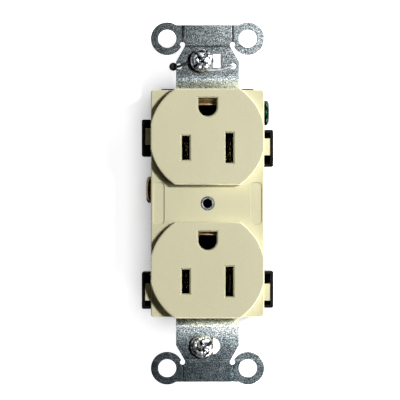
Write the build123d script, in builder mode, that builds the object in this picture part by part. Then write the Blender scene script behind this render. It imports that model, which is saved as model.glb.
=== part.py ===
from build123d import *
import os

# Duplex wall outlet, back and side wired, as the separate pieces it is put together from.
# +Z is up the wall and -Y faces the room. The origin is on the axis of the cover-plate
# screw hole, in the wall plane, which is the rear face of the strap's ears. Millimetres.

# ---- Mounting strap ----------------------------------------------------------------
strap_thickness = 1.27
strap_set_back = 1.6            # the middle of the strap lies this far behind the ears
set_back_outer_z = 36.0
set_back_inner_z = 33.6
set_back_miter = 0.385          # shift of the bend lines on the front face
bend_inside_radius = 0.3
bend_outside_radius = 1.4
strap_end_z = 60.0              # beyond the strap's ends, for cutting
neck_half_width = 9.2
neck_inner_z = (23.2, 28.6)     # where the wide neck starts, above and below
neck_shoulder_z = 41.4
bar_root_half_width = 6.6
bar_root_z = 46.0
bar_outer_z = 52.1
ear_x = 11.8
ear_z = 48.15
ear_radius = 4.75
ear_hole_radius = 2.65
notch_radius = 0.72
notch_x = 7.32
notch_z = 46.43
score_x = 7.35
score_depth = 0.35
rear_score_depth = 0.2
score_half_width = 0.3
crease_z = (45.9, -45.35, -45.85)
crease_depth = 0.1
crease_half_width = 0.12
bridge_half_width = 3.8         # between the blade slots
cross_half_width = 8.9          # where the lower ground contact is riveted
cross_half_height = 4.4
strap_clearance = 0.08
collar_radius = 1.9
collar_front_y = -2.5
cover_screw_hole_radius = 1.35  # tapped 6-32

# ---- Mounting screws, 6-32 ---------------------------------------------------------
mounting_screw_spacing = 83.34
mounting_screw_x = -1.6         # resting place in the slots
mounting_thread_radius = 1.75
mounting_thread_start_y = 1.35
mounting_thread_tip_y = 20.6
mounting_neck_radius = 1.4      # thin enough for the washer to keep the screw
mounting_head_gap = 0.12
mounting_cross = 4.2
mounting_head_radius = 3.4
mounting_head_height = 2.1
top_slot_length = 7.6
top_slot_width = 4.05
bottom_slot_length = 7.3
bottom_slot_width = 4.9
retainer_side = 6.4
retainer_thickness = 0.8
retainer_gap = 0.15
retainer_hole_radius = 1.55
retainer_corner_radius = 0.5
wire_radius = 0.4
wire_gap = 0.06
spring_hole_radius = 0.85
spring_left_hole = (-8.3, 40.05)
spring_right_hole = (7.5, 40.1)
spring_paddle = (-10.0, 40.0)   # flattened end of the wire, beside the neck
spring_paddle_radius = 1.25
spring_paddle_thickness = 0.6
# the wire's way over the front of the strap, and its hooked end behind it
spring_front_points = ((-5.0, 41.6), (-3.5, 39.15), (0.2, 38.65), (3.6, 39.0))
spring_rear_end = (6.2, 41.1)
spring_bend_radii = (0.6, 0.6, 0.8, 0.9, 1.5, 1.5, 0.6, 0.6)

# ---- Face --------------------------------------------------------------------------
parting_y = strap_set_back      # where face and rear body meet
flange_half_width = 16.5
flange_half_height = 33.1
flange_front_y = -2.7
flange_corner_radius = 0.8
flange_wall = 1.9
disc_front_y = -6.6
disc_radius = 16.9
disc_z = 19.4
disc_half_height = 14.0
disc_wall = 2.0
side_wall = 2.0
slot_guide_wall = 1.1
centre_hole_radius = 2.05
centre_boss_wall = 1.3
flange_edge_chamfer = 0.25
disc_edge_radius = 0.35
joint_overlap = 0.2             # how far joined lumps reach into each other
label_pocket_inner_x = 12.6
label_pocket_outer_x = 15.85
label_pocket_half_height = 6.15
label_pocket_depth = 0.35
label_pocket_corner_radius = 1.2

# ---- Plug openings, NEMA 5-15 ------------------------------------------------------
outlet_spacing = 38.9
upper_blade_z = 16.15
blade_z = (upper_blade_z, upper_blade_z - outlet_spacing)
blade_x = 6.35
blade_slot_width = 2.25
hot_slot_height = 7.05
neutral_slot_height = 8.7
slot_rim = 0.42
ground_above_blades = 11.9
ground_z = (blade_z[0] + ground_above_blades, blade_z[1] + ground_above_blades)
ground_hole_radius = 2.68
ground_hole_top = 2.65

# ---- Snap legs of the face and their pockets ---------------------------------------
leg_half_height = 2.45
leg_inner_x = 16.95
leg_outer_x = 18.2
leg_front_y = -2.4
leg_root_rear_y = -0.2
leg_tip_y = 8.8
barb_front_y = 6.3
barb_reach_x = 18.95
barb_half_height = 1.4
pocket_half_height = 5.4
pocket_outer_x = 19.2
pocket_wall = 0.85
pocket_front_y = -1.7
pocket_floor_y = 10.3
pocket_rear_y = 11.5
pocket_corner_radius = 0.5
pocket_rear_chamfer = 0.4
flange_gap = 0.15
barb_gap = 0.2
# side, middle of the pocket, middle of the leg
snaps = ((-1, 19.1, 19.6), (-1, -25.4, -25.9), (1, 16.1, 16.5), (1, -25.1, -25.9))

# ---- Rear body ---------------------------------------------------------------------
body_half_width = 16.2
body_half_height = 33.0
body_rear_y = 22.0
body_edge_radius = 1.2
top_lip_half_width = 13.5
top_lip_rear_y = 19.0
top_lip = 0.55
contact_room_inner_x = 4.25
contact_room_half_height = 4.1
contact_room_rear_y = 13.6
rail_room_inner_x = 11.2
rail_room_outer_x = 13.05
rail_room_rear_y = 15.6
window_front_y = 5.0
window_rear_y = 16.0
window_half_height = 4.7
tab_window_rear_y = 9.5
screw_tip_room_x = 5.8
screw_tip_room_radius = 2.5
wire_hole_x = 14.0
wire_hole_radius = 1.3
wire_hole_offset_z = 3.0
wire_hole_funnel = 0.4
ground_room_rear_y = 11.0
ground_room_half_height = 4.4
ground_tip_room_x = 6.6
plate_room_rear_y = 3.3
plate_room_gap = 0.3
pin_room_half_width = 3.2
pin_room_rear_y = 16.5
cover_screw_room_radius = 2.2
cover_screw_room_rear_y = 13.0
gauge_length = 13.0             # strip-length gauge on the back
gauge_width = 2.4
gauge_depth = 0.7
recess_z = (22.5, -26.0)        # lightening recesses on the back
recess_length = 20.0
recess_height = 8.0
recess_corner_radius = 1.5
recess_depth = 0.8

# ---- Terminals, 8-32 screws --------------------------------------------------------
terminal_y = 10.5
terminal_mid_z = (blade_z[0] + blade_z[1]) / 2
terminal_half_spacing = 7.3
terminal_z = (terminal_mid_z + terminal_half_spacing, terminal_mid_z - terminal_half_spacing)
rail_inner_x = 11.9
rail_thickness = 1.0
rail_front_y = 8.0
link_front_y = 9.0
break_tab_y = (6.0, 9.0)
break_neck_y = (6.6, 8.4)
break_neck_length = 0.5
clamp_gap = 0.05
clamp_thickness = 1.2
clamp_height = 8.4
clamp_depth = 9.0
clamp_corner_radius = 0.6
clamp_groove_step = 1.5
clamp_groove_side = 0.4
terminal_travel = 2.0           # from tight to backed out
terminal_head_radius = 3.95
terminal_head_height = 2.0
terminal_shank_radius = 2.05
terminal_shank_length = 7.9
terminal_cross = 4.6
tapped_hole_radius = 2.10
clamp_hole_radius = 2.13
ground_screw_y = 5.8
ground_screw_z = 26.6
ground_head_radius = 3.68
ground_shank_length = 6.35
ground_cross = 4.4
ground_travel = 1.9
ground_tab_outer_x = 13.0
ground_tab_root_x = 8.8
ground_tab_half_height = 4.0
ground_tab_tip_y = 10.2
ground_clamp_depth = 7.6
ground_clamp_height = 7.8

# ---- Contacts ----------------------------------------------------------------------
leaf_thickness = 0.7
contact_half_height = 3.5
contact_rear_y = 12.6
# centre line of a blade contact: distance from the middle, depth
blade_contact_line = (
    (5.0, 2.4), (5.5, 4.6), (4.95, 9.0), (4.95, contact_rear_y),
    (7.75, contact_rear_y), (7.75, 9.0), (7.2, 4.6), (7.7, 2.4),
)
contact_web_x = 7.7
ground_plate_half_width = 8.6
ground_plate_half_height = 3.9
ground_window = 2.95
ground_leaf_width = 5.5
ground_leaf_thickness = 0.4
ground_lip_radius = 0.25
# The front leaf comes forward through the strap and folds back into a lip just behind
# the face. Centre line: depth, rise above the pin's axis.
ground_leaf_root = ((1.9, 3.3), (1.9, 2.62), (-3.7, 2.55))
ground_lip = {"upper": ((-3.9, 2.2), (-2.45, 0.86)), "lower": ((-3.85, 2.3), (-3.05, 1.86))}
ground_rear_leaf = ((1.95, -3.28), (3.0, -3.15), (8.6, -2.5), (10.4, -3.0))
rivet_hole_gap = 0.04
rivet_x = 6.8
rivet_shank_radius = 1.2
rivet_head_radius = 1.9
rivet_head_height = 0.7

strap_front_y = strap_set_back - strap_thickness
tight_head_x = rail_inner_x + rail_thickness + 2 * clamp_gap + clamp_thickness


def front_plane(y):
    """Plane at depth y that faces the room, with its X along +X and its Y up."""
    return Plane.XZ.offset(-y)


def block(x_range, y_range, z_range, mode=Mode.ADD):
    """Join a box between these limits to the part being built, or cut it away."""
    size = [high - low for low, high in (x_range, y_range, z_range)]
    middle = [(high + low) / 2 for low, high in (x_range, y_range, z_range)]
    with Locations(tuple(middle)):
        Box(*size, mode=mode)


def side_block(side, x_range, y_range, z_range, mode=Mode.ADD):
    """The same on one side of the housing, with the X limits measured outwards."""
    x_limits = sorted((side * x_range[0], side * x_range[1]))
    block(x_limits, y_range, z_range, mode)


def strip_outline(points, thickness):
    """Closed outline of a bent strip around its centre line, with mitred corners."""
    line = [Vector(*point) for point in points]
    runs = [(after - before).normalized() for before, after in zip(line, line[1:])]
    normals = [Vector(-run.Y, run.X) for run in runs]
    left = []
    right = []
    for place, point in enumerate(line):
        before = normals[max(place - 1, 0)]
        after = normals[min(place, len(normals) - 1)]
        miter = (before + after).normalized()
        reach = thickness / 2 / miter.dot(after)
        left.append(point + miter * reach)
        right.append(point - miter * reach)
    return left + right[::-1]


def disc_profile(middle_z, y, inset=0.0):
    """Outline of a raised outlet disc: round, cut flat above, below and at the sides."""
    with BuildSketch(front_plane(y)) as profile:
        with Locations((0, middle_z)):
            Circle(disc_radius - inset)
            Rectangle(
                2 * (flange_half_width - inset),
                2 * (disc_half_height - inset),
                mode=Mode.INTERSECT,
            )
    return profile.sketch


def ground_hole_profile(middle_z, y):
    """U-shaped ground hole: flat above, round below."""
    radius = ground_hole_radius
    with BuildSketch(front_plane(y)) as profile:
        with Locations((0, middle_z)):
            Circle(radius)
        with Locations((0, middle_z + ground_hole_top / 2)):
            Rectangle(2 * radius, ground_hole_top)
        with Locations((0, middle_z + ground_hole_top + radius)):
            Rectangle(2 * radius, 2 * radius, mode=Mode.SUBTRACT)
    return profile.sketch


def blade_slot_profile(middle_z, y, wall=0.0):
    """The two blade slots of one outlet: short hot on the left, tall neutral on the right."""
    with BuildSketch(front_plane(y)) as profile:
        with Locations((-blade_x, middle_z)):
            Rectangle(blade_slot_width + 2 * wall, hot_slot_height + 2 * wall)
        with Locations((blade_x, middle_z)):
            Rectangle(blade_slot_width + 2 * wall, neutral_slot_height + 2 * wall)
    return profile.sketch


def machine_screw(seat, head_radius, head_height, shank_radius, shank_length, cross, neck=None):
    """Screw whose head stands on the seat plane, with a slot and a cross recess.

    A neck is the radius and length of a thinner stretch under the head."""
    with BuildPart() as screw:
        with BuildSketch(seat):
            Circle(head_radius)
        extrude(amount=head_height)
        rim = screw.edges().filter_by(GeomType.CIRCLE).sort_by(lambda edge: seat.to_local_coords(
            edge.arc_center).Z)[-1]
        chamfer(rim, head_height * 0.3)
        neck_radius, neck_length = neck or (shank_radius, 0)
        with BuildSketch(seat.offset(-neck_length)):
            Circle(shank_radius)
        extrude(amount=neck_length - shank_length)
        if neck:
            with BuildSketch(seat):
                Circle(neck_radius)
            extrude(amount=-neck_length)
        with BuildSketch(seat.offset(head_height)):
            Rectangle(2 * head_radius + 1, head_radius * 0.3)
        extrude(amount=-head_height * 0.45, mode=Mode.SUBTRACT)
        with BuildSketch(seat.offset(head_height)):
            Rectangle(cross, cross * 0.26)
            Rectangle(cross * 0.26, cross)
        extrude(amount=-head_height * 0.75, mode=Mode.SUBTRACT)
    return screw.part


def clamp_plate(outer_face, depth, height):
    """Wire clamp plate, grooved on its inner face, that rides under a terminal screw."""
    with BuildPart() as plate:
        with BuildSketch(outer_face):
            RectangleRounded(depth, height, clamp_corner_radius)
            Circle(clamp_hole_radius, mode=Mode.SUBTRACT)
        extrude(amount=-clamp_thickness)
        with BuildSketch(outer_face.offset(-clamp_thickness)):
            with GridLocations(clamp_groove_step, 1, 5, 1):
                Rectangle(clamp_groove_side, height + 1)
        extrude(amount=clamp_groove_side / 2, mode=Mode.SUBTRACT)
    return plate.part


def terminal_seat(side, distance, y, z):
    """Plane square to a terminal screw's axis, facing out of the housing."""
    return Plane(origin=(side * distance, y, z), x_dir=(0, 1, 0), z_dir=(side, 0, 0))


def line_bus(side):
    """One bus: two blade contacts, two terminal plates and the break-off tab, in one strip."""
    with BuildPart() as bus:
        for middle_z in blade_z:
            mouth_line = [(side * x, y) for x, y in blade_contact_line]
            with BuildSketch(Plane.XY.offset(middle_z - contact_half_height)):
                with BuildLine():
                    Polyline(*strip_outline(mouth_line, leaf_thickness), close=True)
                make_face()
            extrude(amount=2 * contact_half_height)
            contact_z = (middle_z - contact_half_height, middle_z + contact_half_height)
            web_y = (contact_rear_y - leaf_thickness / 2, contact_rear_y + leaf_thickness / 2)
            side_block(side, (contact_web_x, rail_inner_x + rail_thickness), web_y, contact_z)
            rail_x = (rail_inner_x, rail_inner_x + rail_thickness)
            side_block(side, rail_x, (rail_front_y, web_y[1]), contact_z)
        for screw_z, contact_end_z in zip(terminal_z, blade_z):
            plate_z = (screw_z - clamp_height / 2, screw_z + clamp_height / 2)
            plate_y = (terminal_y - clamp_depth / 2, terminal_y + clamp_depth / 2)
            side_block(side, rail_x, plate_y, plate_z)
            link_z = sorted((screw_z, contact_end_z))
            side_block(side, rail_x, (link_front_y, web_y[1]), link_z)
        # break-off tab between the two terminal plates, necked at both ends
        tab_z = (terminal_z[1] + clamp_height / 2, terminal_z[0] - clamp_height / 2)
        side_block(side, rail_x, break_neck_y, tab_z)
        side_block(side, rail_x, break_tab_y,
                   (tab_z[0] + break_neck_length, tab_z[1] - break_neck_length))
        for screw_z in terminal_z:
            with BuildSketch(terminal_seat(side, rail_inner_x, terminal_y, screw_z)):
                Circle(tapped_hole_radius)
            extrude(amount=rail_thickness, mode=Mode.SUBTRACT)
    return bus.part


def bent_leaf(points, thickness, width, middle_z):
    """Strip across the middle, bent along depth and rise points about a pin's axis."""
    with BuildPart() as leaf:
        with BuildSketch(Plane.YZ.offset(-width / 2)):
            with BuildLine():
                placed = [(depth, middle_z + rise) for depth, rise in points]
                Polyline(*strip_outline(placed, thickness), close=True)
            make_face()
        extrude(amount=width)
    return leaf.part


def ground_contact(middle_z, lip):
    """Ground contact: a plate riveted behind the strap, with two leaves for the pin."""
    plate_rear_y = strap_set_back + leaf_thickness
    front_leaf = bent_leaf(ground_leaf_root + lip, ground_leaf_thickness, ground_leaf_width,
                           middle_z)
    rear_leaf = bent_leaf(ground_rear_leaf, leaf_thickness, ground_leaf_width, middle_z)
    with BuildPart() as contact:
        plate_z = (middle_z - ground_plate_half_height, middle_z + ground_plate_half_height)
        plate_x = (-ground_plate_half_width, ground_plate_half_width)
        block(plate_x, (strap_set_back, plate_rear_y), plate_z)
        with BuildSketch(front_plane(plate_rear_y)):
            with Locations((0, middle_z)):
                Rectangle(2 * ground_window, 2 * ground_window)
            with Locations((-rivet_x, middle_z), (rivet_x, middle_z)):
                Circle(rivet_shank_radius + rivet_hole_gap)
        extrude(amount=leaf_thickness, mode=Mode.SUBTRACT)
        add(front_leaf)
        add(rear_leaf)
        # rolled edge of the lip
        lip_y, lip_rise = lip[-1]
        with BuildSketch(Plane.YZ.offset(-ground_leaf_width / 2)):
            with Locations((lip_y, middle_z + lip_rise)):
                Circle(ground_lip_radius)
        extrude(amount=ground_leaf_width)
    return contact.part


def rivet_pair(middle_z):
    """The two rivets of one ground contact, as two separate solids."""
    rear_y = strap_set_back + leaf_thickness
    with BuildPart() as rivets:
        for x in (-rivet_x, rivet_x):
            with BuildSketch(front_plane(rear_y)):
                with Locations((x, middle_z)):
                    Circle(rivet_shank_radius)
            extrude(amount=rear_y - strap_front_y)
            with BuildSketch(front_plane(strap_front_y), front_plane(rear_y + rivet_head_height)):
                with Locations((x, middle_z)):
                    Circle(rivet_head_radius)
            extrude(amount=rivet_head_height)
    return rivets.part


# ---- Face: flange, raised discs, slots and snap legs -------------------------------
with BuildPart() as face:
    with BuildSketch(front_plane(parting_y)):
        RectangleRounded(2 * flange_half_width, 2 * flange_half_height, flange_corner_radius)
    extrude(amount=parting_y - flange_front_y)
    chamfer(face.faces().sort_by(Axis.Y)[0].edges(), flange_edge_chamfer)
    for sign in (-1, 1):
        extrude(disc_profile(sign * disc_z, 0), amount=-disc_front_y)
    for disc_face in face.faces().sort_by(Axis.Y)[:2]:
        fillet(disc_face.outer_wire().edges(), disc_edge_radius)

    # hollow from behind, with a thinner front wall in the discs
    with BuildSketch(front_plane(parting_y)):
        Rectangle(2 * (flange_half_width - side_wall), 2 * (flange_half_height - side_wall))
    hollow_front_y = flange_front_y + flange_wall
    extrude(amount=parting_y - hollow_front_y, mode=Mode.SUBTRACT)
    for sign in (-1, 1):
        hollow = disc_profile(sign * disc_z, hollow_front_y, inset=side_wall)
        extrude(hollow, amount=hollow_front_y - disc_front_y - disc_wall, mode=Mode.SUBTRACT)

    # guides that lead the blades back from the slots, and the boss of the middle hole
    guide_front_y = disc_front_y + disc_wall - joint_overlap
    guide_rear_y = parting_y - joint_overlap
    for middle_z in blade_z:
        guide = blade_slot_profile(middle_z, guide_rear_y, wall=slot_guide_wall)
        extrude(guide, amount=guide_rear_y - guide_front_y)
    boss_rear_y = strap_front_y - strap_clearance
    with BuildSketch(front_plane(boss_rear_y)):
        Circle(centre_hole_radius + centre_boss_wall)
    extrude(amount=boss_rear_y - hollow_front_y + joint_overlap)

    # plug openings and the middle hole, cut right through
    for middle_z in blade_z:
        slots = blade_slot_profile(middle_z, parting_y)
        extrude(slots, amount=parting_y - disc_front_y + 1, mode=Mode.SUBTRACT)
    for middle_z in ground_z:
        hole = ground_hole_profile(middle_z, parting_y)
        extrude(hole, amount=parting_y - disc_front_y + 1, mode=Mode.SUBTRACT)
    for disc_face in face.faces().sort_by(Axis.Y)[:2]:
        for opening in disc_face.inner_wires():
            chamfer(opening.edges(), slot_rim)
    with BuildSketch(front_plane(parting_y)):
        Circle(centre_hole_radius)
    extrude(amount=parting_y - flange_front_y + 1, mode=Mode.SUBTRACT)

    # shallow label pockets beside the middle, left blank
    pocket_middle_x = (label_pocket_inner_x + label_pocket_outer_x) / 2
    pocket_width = label_pocket_outer_x - label_pocket_inner_x
    with BuildSketch(front_plane(flange_front_y)):
        with Locations((-pocket_middle_x, 0), (pocket_middle_x, 0)):
            RectangleRounded(pocket_width, 2 * label_pocket_half_height,
                             label_pocket_corner_radius)
    extrude(amount=-label_pocket_depth, mode=Mode.SUBTRACT)

    # notches in the end walls, where the strap passes out
    for sign in (-1, 1):
        notch_z_range = sorted((sign * (flange_half_height - side_wall - 1),
                                sign * (flange_half_height + 1)))
        neck_gap_x = neck_half_width + 2 * strap_clearance
        block((-neck_gap_x, neck_gap_x), (boss_rear_y, parting_y + 1), notch_z_range,
              mode=Mode.SUBTRACT)

    # snap legs with their barbs
    for side, _, leg_z in snaps:
        leg_z_range = (leg_z - leg_half_height, leg_z + leg_half_height)
        root_x = (flange_half_width - joint_overlap, leg_outer_x)
        side_block(side, root_x, (leg_front_y, leg_root_rear_y), leg_z_range)
        side_block(side, (leg_inner_x, leg_outer_x),
                   (leg_root_rear_y - joint_overlap, leg_tip_y), leg_z_range)
        with BuildSketch(Plane.XY.offset(leg_z - barb_half_height)):
            with BuildLine():
                Polyline(
                    (side * (leg_outer_x - joint_overlap), barb_front_y),
                    (side * barb_reach_x, barb_front_y),
                    (side * leg_outer_x, leg_tip_y),
                    (side * (leg_outer_x - joint_overlap), leg_tip_y),
                    close=True,
                )
            make_face()
        extrude(amount=2 * barb_half_height)
face.part.label = "face"

# ---- Rear body: moulded block with rooms for the contacts and windows for the screws -
with BuildPart() as rear_body:
    with BuildSketch(front_plane(body_rear_y)):
        RectangleRounded(2 * body_half_width, 2 * body_half_height, body_edge_radius)
    extrude(amount=body_rear_y - parting_y)
    fillet(rear_body.faces().sort_by(Axis.Y)[-1].edges(), body_edge_radius)
    block((-top_lip_half_width, top_lip_half_width), (parting_y, top_lip_rear_y),
          (body_half_height - 1, body_half_height + top_lip))

    # C-shaped pockets for the snap legs, with a window for each barb
    for side, pocket_z, leg_z in snaps:
        inner_z = (pocket_z - pocket_half_height + pocket_wall,
                   pocket_z + pocket_half_height - pocket_wall)
        for rear_y, front_y, from_x in (
            (pocket_rear_y, parting_y + strap_clearance, body_half_width - 1),
            (parting_y + strap_clearance, pocket_front_y, flange_half_width + flange_gap),
        ):
            with BuildSketch(front_plane(rear_y)):
                with Locations((side * (pocket_outer_x - 5), pocket_z)):
                    RectangleRounded(10, 2 * pocket_half_height, pocket_corner_radius)
                with Locations((side * (from_x - 5), pocket_z)):
                    Rectangle(10, 2 * pocket_half_height, mode=Mode.SUBTRACT)
            extrude(amount=rear_y - front_y)
        rear_edges = rear_body.edges().filter_by(Axis.Z).filter_by_position(
            Axis.Y, pocket_rear_y - 0.01, pocket_rear_y + 0.01)
        chamfer(rear_edges.sort_by(Axis.X)[-1 if side > 0 else 0], pocket_rear_chamfer)
        side_block(side, (body_half_width, pocket_outer_x - pocket_wall),
                   (pocket_front_y, pocket_floor_y), inner_z, mode=Mode.SUBTRACT)
        side_block(side, (pocket_outer_x - pocket_wall, pocket_outer_x + 1),
                   (barb_front_y - barb_gap, leg_tip_y + 2 * barb_gap),
                   (leg_z - barb_half_height - barb_gap, leg_z + barb_half_height + barb_gap),
                   mode=Mode.SUBTRACT)

    # rooms for the two buses, open towards the face
    for side in (-1, 1):
        for middle_z in blade_z:
            side_block(side, (contact_room_inner_x, rail_room_inner_x + joint_overlap),
                       (parting_y, contact_room_rear_y),
                       (middle_z - contact_room_half_height,
                        middle_z + contact_room_half_height), mode=Mode.SUBTRACT)
        side_block(side, (rail_room_inner_x, rail_room_outer_x),
                   (parting_y, rail_room_rear_y),
                   (blade_z[1] - contact_room_half_height,
                    blade_z[0] + contact_room_half_height), mode=Mode.SUBTRACT)
        for screw_z in terminal_z:
            window_z = (screw_z - window_half_height, screw_z + window_half_height)
            side_block(side, (rail_room_outer_x - joint_overlap, body_half_width + 1),
                       (window_front_y, window_rear_y), window_z, mode=Mode.SUBTRACT)
            with BuildSketch(terminal_seat(side, screw_tip_room_x, terminal_y, screw_z)):
                Circle(screw_tip_room_radius)
            extrude(amount=rail_room_outer_x - screw_tip_room_x, mode=Mode.SUBTRACT)
            with BuildSketch(front_plane(body_rear_y)):
                with Locations((side * wire_hole_x, screw_z - wire_hole_offset_z),
                               (side * wire_hole_x, screw_z + wire_hole_offset_z)):
                    Circle(wire_hole_radius)
            extrude(amount=body_rear_y - window_rear_y, mode=Mode.SUBTRACT)
        side_block(side, (rail_room_outer_x - joint_overlap, body_half_width + 1),
                   (window_front_y, tab_window_rear_y),
                   (terminal_z[1], terminal_z[0]), mode=Mode.SUBTRACT)

    # room for the ground tab, its clamp plate and its screw
    ground_room_z = (ground_screw_z - ground_room_half_height,
                     ground_screw_z + ground_room_half_height)
    ground_room_x = ground_tab_outer_x - strap_thickness - 5 * strap_clearance
    side_block(1, (ground_room_x, body_half_width + 1), (parting_y, ground_room_rear_y),
               ground_room_z, mode=Mode.SUBTRACT)
    with BuildSketch(terminal_seat(1, ground_tip_room_x, ground_screw_y, ground_screw_z)):
        Circle(screw_tip_room_radius)
    extrude(amount=ground_tab_outer_x - ground_tip_room_x, mode=Mode.SUBTRACT)

    # rooms for the ground contacts and their rivet heads, and for the pins' tips
    for middle_z in ground_z:
        plate_room_z = (middle_z - ground_plate_half_height - plate_room_gap,
                        middle_z + ground_plate_half_height + plate_room_gap)
        plate_room_x = ground_plate_half_width + plate_room_gap
        block((-plate_room_x, plate_room_x), (parting_y, plate_room_rear_y), plate_room_z,
              mode=Mode.SUBTRACT)
        block((-pin_room_half_width, pin_room_half_width), (parting_y, pin_room_rear_y),
              plate_room_z, mode=Mode.SUBTRACT)

    wire_hole_mouths = rear_body.edges().filter_by(GeomType.CIRCLE).filter_by_position(
        Axis.Y, body_rear_y - 0.01, body_rear_y + 0.01)
    chamfer(wire_hole_mouths, wire_hole_funnel)

    # blind hole for the tip of the cover-plate screw
    with BuildSketch(front_plane(cover_screw_room_rear_y)):
        Circle(cover_screw_room_radius)
    extrude(amount=cover_screw_room_rear_y - parting_y, mode=Mode.SUBTRACT)

    # strip-length gauge and lightening recesses on the back
    with BuildSketch(front_plane(body_rear_y)):
        with Locations((0, terminal_mid_z)):
            SlotOverall(gauge_length, gauge_width, rotation=90)
    extrude(amount=gauge_depth, mode=Mode.SUBTRACT)
    with BuildSketch(front_plane(body_rear_y)):
        with Locations((0, recess_z[0]), (0, recess_z[1])):
            RectangleRounded(recess_length, recess_height, recess_corner_radius)
    extrude(amount=recess_depth, mode=Mode.SUBTRACT)
rear_body.part.label = "rear_body"

# ---- Mounting strap: one steel stamping from ear to ear ----------------------------
with BuildPart() as mounting_strap:
    blank_rear_y = 4.0
    with BuildSketch(front_plane(blank_rear_y)):
        Rectangle(2 * bridge_half_width, 2 * set_back_inner_z)
        with Locations((0, ground_z[1])):
            Rectangle(2 * cross_half_width, 2 * cross_half_height)
        for sign, wide_from_z in zip((1, -1), neck_inner_z):
            with BuildLine():
                Polyline(
                    (-neck_half_width, sign * wide_from_z),
                    (-neck_half_width, sign * neck_shoulder_z),
                    (-bar_root_half_width, sign * bar_root_z),
                    (-bar_root_half_width, sign * bar_outer_z),
                    (bar_root_half_width, sign * bar_outer_z),
                    (bar_root_half_width, sign * bar_root_z),
                    (neck_half_width, sign * neck_shoulder_z),
                    (neck_half_width, sign * wide_from_z),
                    close=True,
                )
            make_face()
            with Locations((0, sign * (bar_outer_z + notch_z) / 2)):
                Rectangle(2 * ear_x, bar_outer_z - notch_z)
            with Locations((-ear_x, sign * ear_z), (ear_x, sign * ear_z)):
                Circle(ear_radius)
            with Locations((-notch_x, sign * notch_z), (notch_x, sign * notch_z)):
                Circle(notch_radius, mode=Mode.SUBTRACT)
            with Locations((-ear_x, sign * ear_z), (ear_x, sign * ear_z)):
                Circle(ear_hole_radius, mode=Mode.SUBTRACT)
    extrude(amount=2 * blank_rear_y)

    # bend the middle back, by keeping only what lies in the strap's side view
    with BuildSketch(Plane.YZ) as side_view:
        with BuildLine():
            rear = []
            front = []
            for sign in (1, -1):
                bends = [(0, strap_end_z, 0), (0, set_back_outer_z, set_back_miter),
                         (strap_set_back, set_back_inner_z, set_back_miter)]
                for y, z, miter in bends[::sign]:
                    rear.append((y, sign * z))
                    front.append((y - strap_thickness, sign * (z - miter)))
            Polyline(*rear, *front[::-1], close=True)
        make_face()
        corners = side_view.vertices().filter_by_position(Axis.Y, -strap_end_z + 1,
                                                          strap_end_z - 1)
        inside_corners = corners.filter_by_position(Axis.X, -0.01, strap_front_y + 0.01)
        fillet(inside_corners, bend_inside_radius)
        corners = side_view.vertices().filter_by_position(Axis.Y, -strap_end_z + 1,
                                                          strap_end_z - 1)
        outside_corners = (corners.filter_by_position(Axis.X, -strap_thickness - 0.01,
                                                      -strap_thickness + 0.01).group_by(
            lambda corner: abs(corner.Y))[-1]
            + corners.filter_by_position(Axis.X, strap_set_back - 0.01,
                                         strap_set_back + 0.01).group_by(
            lambda corner: abs(corner.Y))[0])
        fillet(outside_corners, bend_outside_radius)
    extrude(amount=strap_end_z, both=True, mode=Mode.INTERSECT)

    # slots for the mounting screws, holes for the spring, windows and rivet holes
    with BuildSketch(front_plane(blank_rear_y)):
        with Locations((0, mounting_screw_spacing / 2)):
            Rectangle(top_slot_length, top_slot_width)
        with Locations((0, -mounting_screw_spacing / 2)):
            SlotOverall(bottom_slot_length, bottom_slot_width)
        with Locations(spring_left_hole, spring_right_hole):
            Circle(spring_hole_radius)
        with Locations((0, ground_z[0]), (0, ground_z[1])):
            Rectangle(2 * ground_window, 2 * ground_window)
        for middle_z in ground_z:
            with Locations((-rivet_x, middle_z), (rivet_x, middle_z)):
                Circle(rivet_shank_radius + rivet_hole_gap)
    extrude(amount=2 * blank_rear_y, mode=Mode.SUBTRACT)

    # collar for the cover-plate screw
    with BuildSketch(front_plane(strap_set_back)):
        Circle(collar_radius)
    extrude(amount=strap_set_back - collar_front_y)
    with BuildSketch(front_plane(strap_set_back)):
        Circle(cover_screw_hole_radius)
    extrude(amount=strap_set_back - collar_front_y, mode=Mode.SUBTRACT)

    # ground tab, bent back at the right, with the tapped hole of the ground screw
    tab_middle_x = ground_tab_outer_x - strap_thickness / 2
    tab_middle_y = strap_set_back - strap_thickness / 2
    tab_line = [(ground_tab_root_x, tab_middle_y), (tab_middle_x, tab_middle_y),
                (tab_middle_x, ground_tab_tip_y)]
    with BuildSketch(Plane.XY.offset(ground_screw_z - ground_tab_half_height)):
        with BuildLine():
            Polyline(*strip_outline(tab_line, strap_thickness), close=True)
        make_face()
    extrude(amount=2 * ground_tab_half_height)
    with BuildSketch(terminal_seat(1, tab_middle_x, ground_screw_y, ground_screw_z)):
        Circle(tapped_hole_radius)
    extrude(amount=strap_thickness, both=True, mode=Mode.SUBTRACT)

    # score grooves where the ears break off, and the fine crease lines
    for sign in (-1, 1):
        score_z = sorted((sign * (notch_z + notch_radius / 2), sign * (bar_outer_z + 1)))
        for x in (-score_x, score_x):
            for face_y, root_y in (
                (-strap_thickness, score_depth - strap_thickness),
                (0, -rear_score_depth),
            ):
                with BuildSketch(Plane.XY.offset(score_z[0])):
                    with BuildLine():
                        Polyline((x - score_half_width, face_y), (x + score_half_width, face_y),
                                 (x, root_y), close=True)
                    make_face()
                extrude(amount=score_z[1] - score_z[0], mode=Mode.SUBTRACT)
    for z in crease_z:
        block((-score_x, score_x), (-strap_thickness - 1, crease_depth - strap_thickness),
              (z - crease_half_width, z + crease_half_width), mode=Mode.SUBTRACT)
mounting_strap.part.label = "mounting_strap"

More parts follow.
